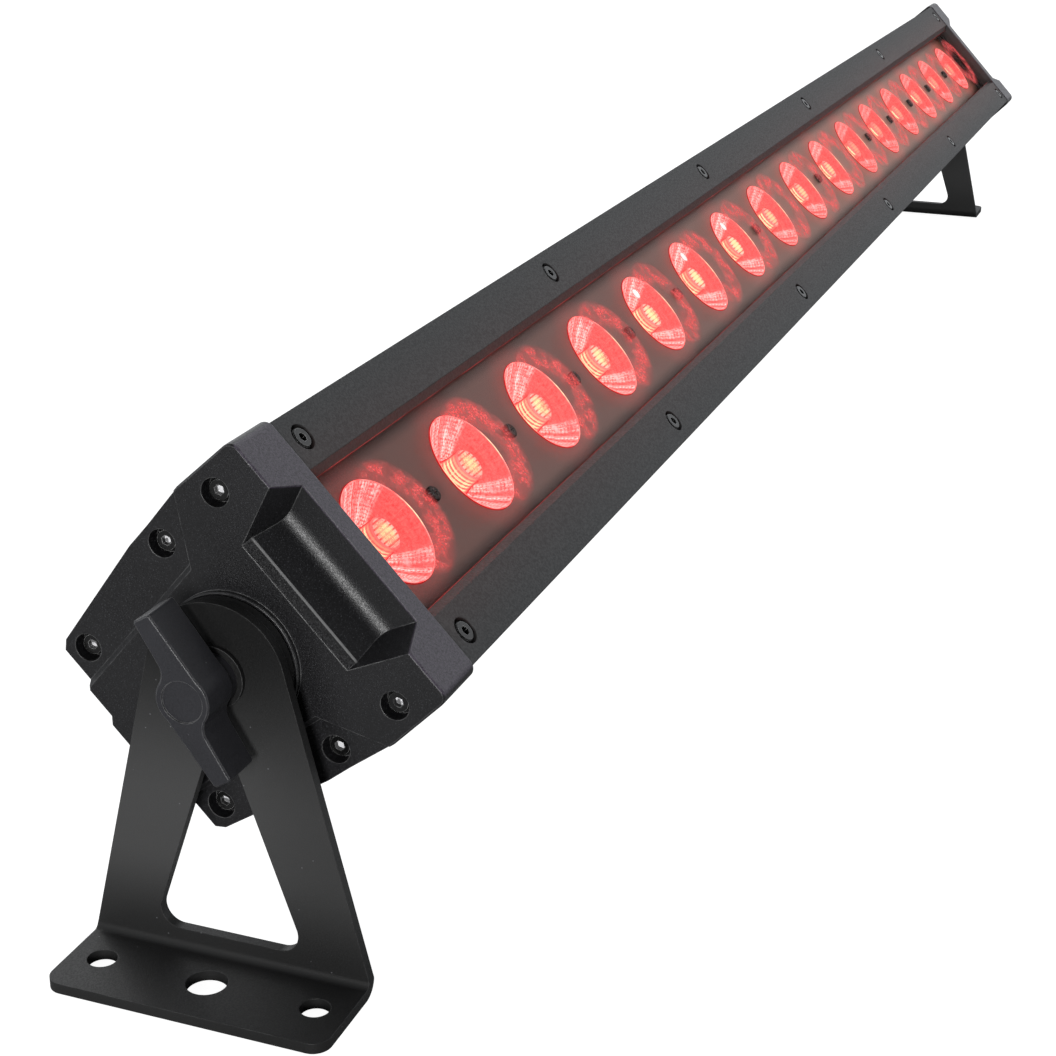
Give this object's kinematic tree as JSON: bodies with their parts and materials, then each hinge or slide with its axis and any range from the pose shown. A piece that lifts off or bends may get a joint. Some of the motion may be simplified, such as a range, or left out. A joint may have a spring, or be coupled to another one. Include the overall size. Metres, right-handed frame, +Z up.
{
  "type": "outdoor wall washer light",
  "caption": "Weatherproof LED bar for washing a wall with light, with a row of lenses behind glass, tilting between two folded brackets held by clamp knobs.",
  "frame": {"origin": "on the surface the feet stand on, under the centre of the light's box", "axes": "+X along the bar towards the far end; +Z up; the lit window faces -Y and up at rest"},
  "size_m": [1.064, 0.1106, 0.1457],
  "materials": {
    "black_powder_coat": "black powder coat",
    "black_textured_casting": "black textured powder coat",
    "black_coated_steel": "black powder coat",
    "clear_glass": "clear",
    "black_rubber": "matte",
    "lens_acrylic": "clear, lit red",
    "panel_aluminium": "painted grey-brown",
    "white_board": "white solder mask",
    "led_package": "clear dome",
    "supply_case": "plain",
    "circuit_board": "green solder mask",
    "standoff_brass": "plain",
    "zinc_steel": "zinc plated",
    "black_oxide_steel": "black oxide",
    "black_plastic": "moulded, fine texture"
  },
  "bodies": {
    "near_stand": {"near_bracket": "black_coated_steel"},
    "far_stand": {"far_bracket": "black_coated_steel"},
    "near_clamp_washer": {"near_washer": "black_plastic"},
    "far_clamp_washer": {"far_washer": "black_plastic"},
    "near_clamp": {"near_knob": "black_plastic", "near_knob_stud": "zinc_steel"},
    "far_clamp": {"far_knob": "black_plastic", "far_knob_stud": "zinc_steel"},
    "bar": {"bezel_screws": "black_oxide_steel", "bezel_strip_lower": "black_powder_coat", "bezel_strip_upper": "black_powder_coat", "board_screws": "black_oxide_steel", "control_board": "circuit_board", "far_cap": "black_textured_casting", "far_cap_gasket": "black_rubber", "far_cap_screws": "black_oxide_steel", "far_friction_disc": "black_rubber", "far_thread_insert": "zinc_steel", "front_glass": "clear_glass", "glass_gasket": "black_rubber", "housing": "black_powder_coat", "led_board_far": "white_board", "led_board_near": "white_board", "leds_far": "led_package", "leds_near": "led_package", "lens_01": "lens_acrylic", "lens_02": "lens_acrylic", "lens_03": "lens_acrylic", "lens_04": "lens_acrylic", "lens_05": "lens_acrylic", "lens_06": "lens_acrylic", "lens_07": "lens_acrylic", "lens_08": "lens_acrylic", "lens_09": "lens_acrylic", "lens_10": "lens_acrylic", "lens_11": "lens_acrylic", "lens_12": "lens_acrylic", "lens_13": "lens_acrylic", "lens_14": "lens_acrylic", "lens_15": "lens_acrylic", "lens_16": "lens_acrylic", "lens_panel": "panel_aluminium", "near_cap": "black_textured_casting", "near_cap_gasket": "black_rubber", "near_cap_screws": "black_oxide_steel", "near_friction_disc": "black_rubber", "near_thread_insert": "zinc_steel", "panel_screws": "black_oxide_steel", "panel_standoffs": "standoff_brass", "power_inlet": "black_plastic", "power_outlet": "black_plastic", "power_supply": "supply_case", "signal_inlet": "black_plastic", "signal_outlet": "black_plastic", "socket_caps": "black_plastic", "vent_plug": "black_plastic"}
  },
  "joints": [
    {"name": "bar_tilt", "type": "hinge", "parent": "near_stand", "child": "bar", "pos_m": [-0.5, 0.00389, 0.0865], "axis": [1, 0, 0], "range_deg": [-181.4, 88.6]},
    {"name": "far_stand_pivot", "type": "hinge", "parent": "bar", "child": "far_stand", "pos_m": [0.5, 0.00389, 0.0865], "axis": [1, 0, 0], "range_deg": [-88.6, 181.4]},
    {"name": "near_clamp_travel", "type": "slide", "parent": "bar", "child": "near_clamp_washer", "axis": [-1, 0, 0], "range_m": [0, 0.00125]},
    {"name": "near_clamp_turn", "type": "hinge", "parent": "near_clamp_washer", "child": "near_clamp", "pos_m": [-0.505, 0.00389, 0.0865], "axis": [-1, 0, 0], "range_deg": [0, 360]},
    {"name": "far_clamp_travel", "type": "slide", "parent": "bar", "child": "far_clamp_washer", "axis": [1, 0, 0], "range_m": [0, 0.00125]},
    {"name": "far_clamp_turn", "type": "hinge", "parent": "far_clamp_washer", "child": "far_clamp", "pos_m": [0.505, 0.00389, 0.0865], "axis": [1, 0, 0], "range_deg": [0, 360]}
  ],
  "couplings": [
    {"joint": "far_stand_pivot", "follows": "bar_tilt", "ratio": -1},
    {"joint": "near_clamp_turn", "follows": "near_clamp_travel", "rad_per_m": 5026.5},
    {"joint": "far_clamp_turn", "follows": "far_clamp_travel", "rad_per_m": 5026.5}
  ]
}
